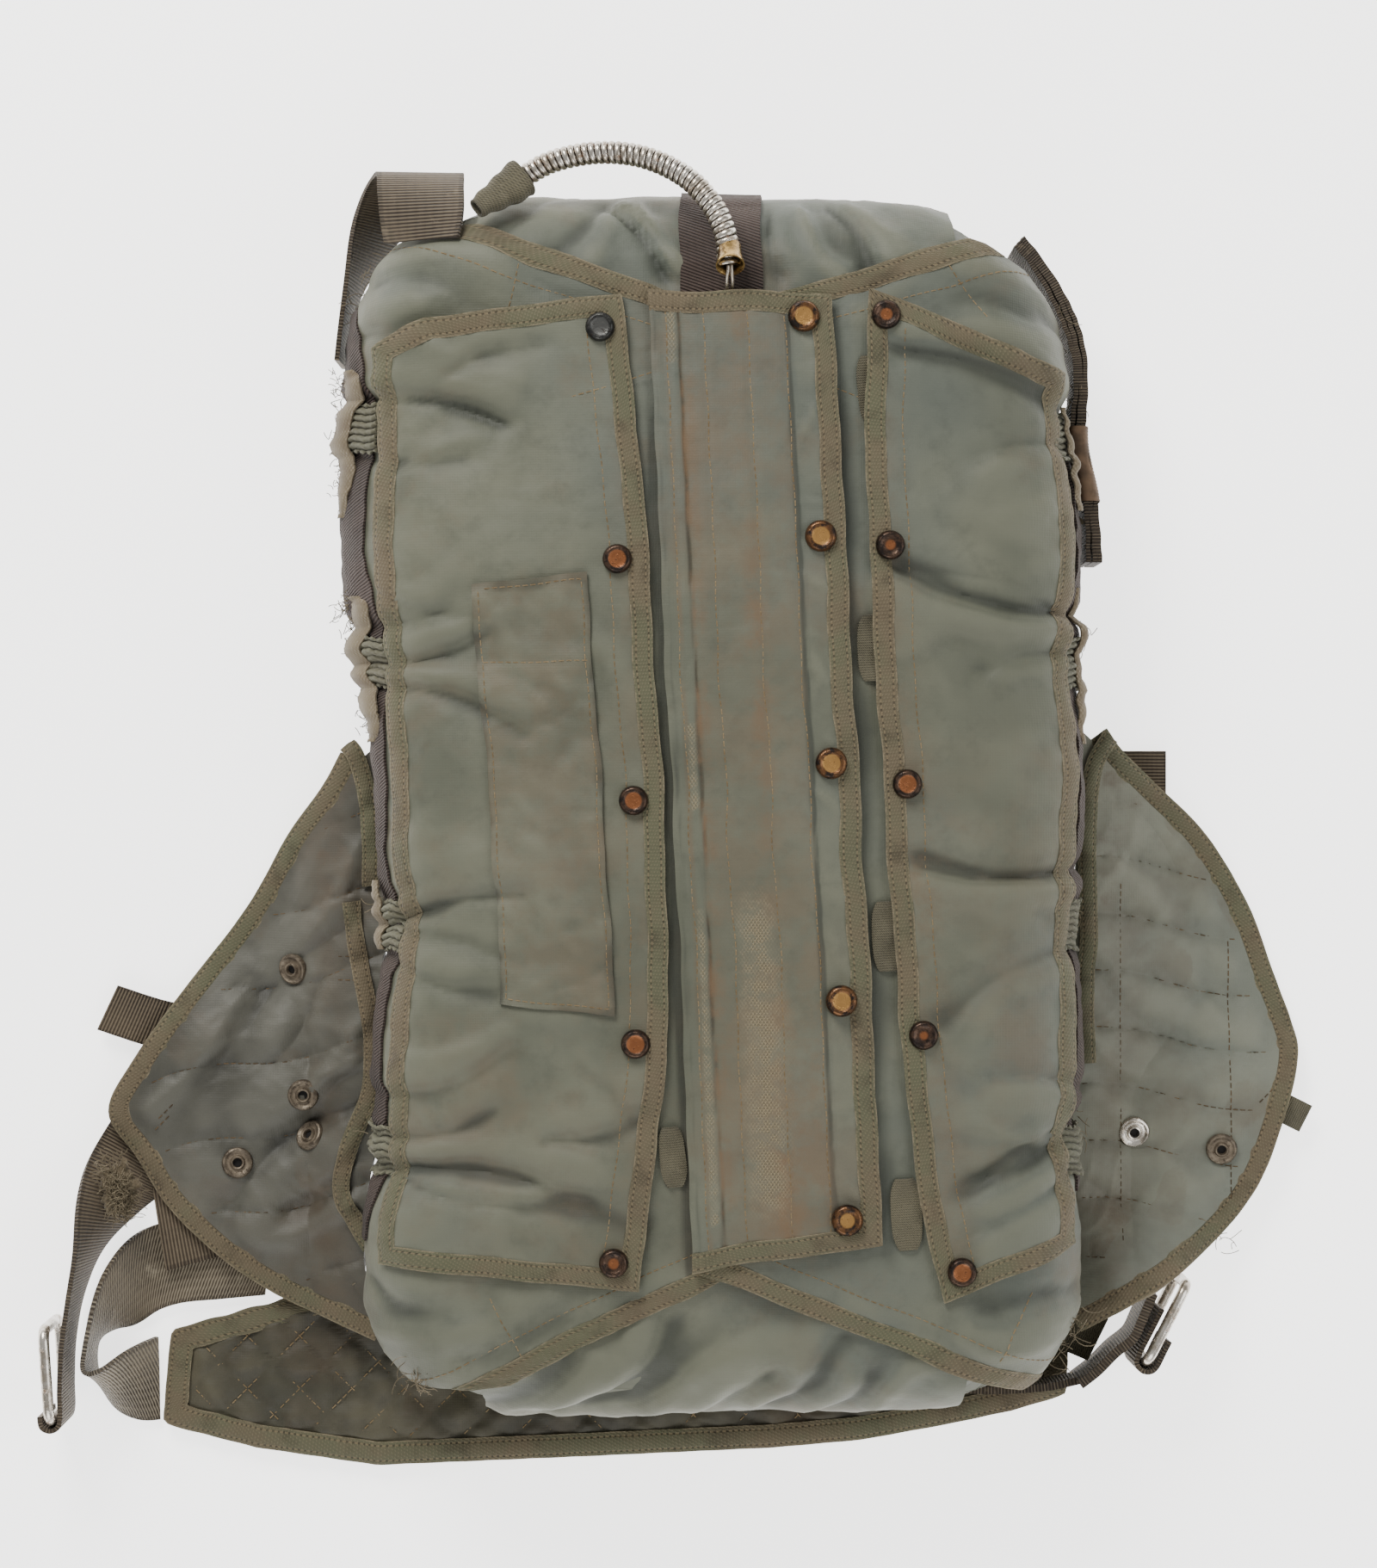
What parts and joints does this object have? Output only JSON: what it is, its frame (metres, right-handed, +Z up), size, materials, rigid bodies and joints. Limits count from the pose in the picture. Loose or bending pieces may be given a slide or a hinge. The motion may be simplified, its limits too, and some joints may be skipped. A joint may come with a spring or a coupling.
{
  "type": "packed back-style parachute",
  "caption": "Packed back-style parachute lying harness side down, its snap-closed flaps and ripcord cover up, with quilted side wings, elastic bands, webbing and conduit.",
  "frame": {"origin": "on the surface that the back pad lies on, under the middle of the pack", "axes": "+Z is up from the surface, out of the closing flaps; +Y points to the shoulder end, where the ripcord conduit enters; +X points to the right of someone who reads the flaps from above with the shoulder end away from them"},
  "size_m": [0.6413, 0.6636, 0.1334],
  "materials": {
    "sage": "grey-green pack cloth, plain weave with a dull sheen, worn pale at its folds",
    "tape": "tan binding tape sewn down with two rows of stitching",
    "quilt": "grey quilted cloth with a light sheen",
    "dark_quilt": "dark olive diamond-quilted cloth",
    "webbing": "brown harness webbing with a ribbed weave",
    "edge_webbing": "purplish grey herringbone webbing",
    "elastic": "shirred elastic band",
    "cap": "bronzed snap cap, worn to copper",
    "socket": "dull oxidised snap socket",
    "steel": "plated steel with specks of rust"
  },
  "bodies": {
    "root": {"back_pad": "dark_quilt", "back_pad_binding": "tape", "bottom_end_flap": "sage", "centre_web": "edge_webbing", "conduit": "steel", "conduit_sleeve": "webbing", "elastic_band_1": "elastic", "elastic_band_2": "elastic", "elastic_band_3": "elastic", "elastic_band_4": "elastic", "label_patch": "sage", "lap_strap_left": "webbing", "leg_strap_left": "webbing", "leg_strap_right": "webbing", "outer_panel_left": "sage", "outer_panel_left_binding": "tape", "outer_panel_right": "sage", "outer_panel_right_binding": "tape", "pack_body": "sage", "ring_left": "steel", "ring_right": "steel", "ring_strap_right": "webbing", "ripcord_cover": "sage", "ripcord_cover_binding": "tape", "riser_loop": "webbing", "riser_right": "webbing", "side_flap_left": "sage", "side_flap_left_binding": "tape", "side_flap_right": "sage", "side_flap_right_binding": "tape", "side_web_left": "edge_webbing", "snap_cap_cover_1": "cap", "snap_cap_cover_2": "cap", "snap_cap_cover_3": "cap", "snap_cap_cover_4": "cap", "snap_cap_cover_5": "cap", "snap_cap_left_1": "cap", "snap_cap_left_2": "cap", "snap_cap_left_3": "cap", "snap_cap_left_4": "cap", "snap_cap_left_5": "cap", "snap_cap_right_1": "cap", "snap_cap_right_2": "cap", "snap_cap_right_3": "cap", "snap_cap_right_4": "cap", "snap_cap_right_5": "cap", "socket_left_1": "socket", "socket_left_2": "socket", "socket_left_3": "socket", "socket_left_4": "socket", "socket_right_1": "socket", "socket_right_2": "socket", "thigh_strap_left": "webbing", "top_end_flap": "sage", "wing_left": "quilt", "wing_left_binding": "tape", "wing_loop_right": "webbing", "wing_right": "quilt", "wing_right_binding": "tape", "wing_tab_left": "webbing"}
  },
  "joints": []
}
